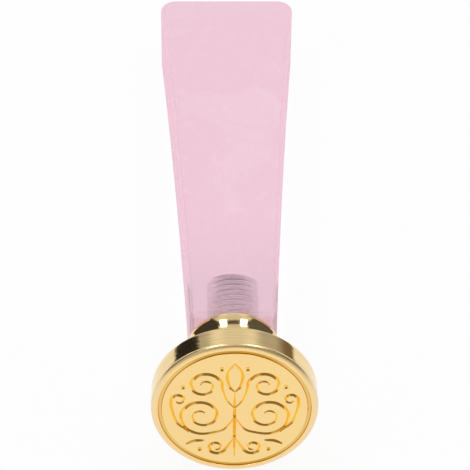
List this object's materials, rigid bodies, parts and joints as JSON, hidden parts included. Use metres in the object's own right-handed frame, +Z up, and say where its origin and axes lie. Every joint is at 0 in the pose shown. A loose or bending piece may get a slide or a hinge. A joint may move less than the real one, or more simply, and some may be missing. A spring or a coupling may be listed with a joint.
{
  "type": "wax seal stamp",
  "caption": "Wax seal stamp: engraved round brass head on a threaded stud, screwed into a flared translucent pink resin handle.",
  "frame": {"origin": "centre of the seal face, on the plane of its field and rim", "axes": "+Y from the seal face along the stamp's axis to the end of the handle, +Z up through the handle's broad side as the stamp lies, +X to the right for someone who looks at the seal face"},
  "size_m": [0.025, 0.1065, 0.025],
  "materials": {
    "pink_resin": "cast translucent resin, polished",
    "stud_steel": "bright zinc",
    "polished_brass": "polished face and neck, fine turned side"
  },
  "bodies": {
    "handle": {"resin_handle": "pink_resin"},
    "stud": {"threaded_stud": "stud_steel"},
    "head": {"stamp_head": "polished_brass"}
  },
  "joints": [
    {"name": "head_unscrew", "type": "hinge", "parent": "handle", "child": "stud", "pos_m": [0, 0.014, 0], "axis": [0, -1, 0], "range_deg": [0, 2880]},
    {"name": "head_travel", "type": "slide", "parent": "stud", "child": "head", "axis": [0, -1, 0], "range_m": [0, 0.01]}
  ],
  "couplings": [
    {"joint": "head_travel", "follows": "head_unscrew", "m_per_rad": 0.00019894}
  ]
}
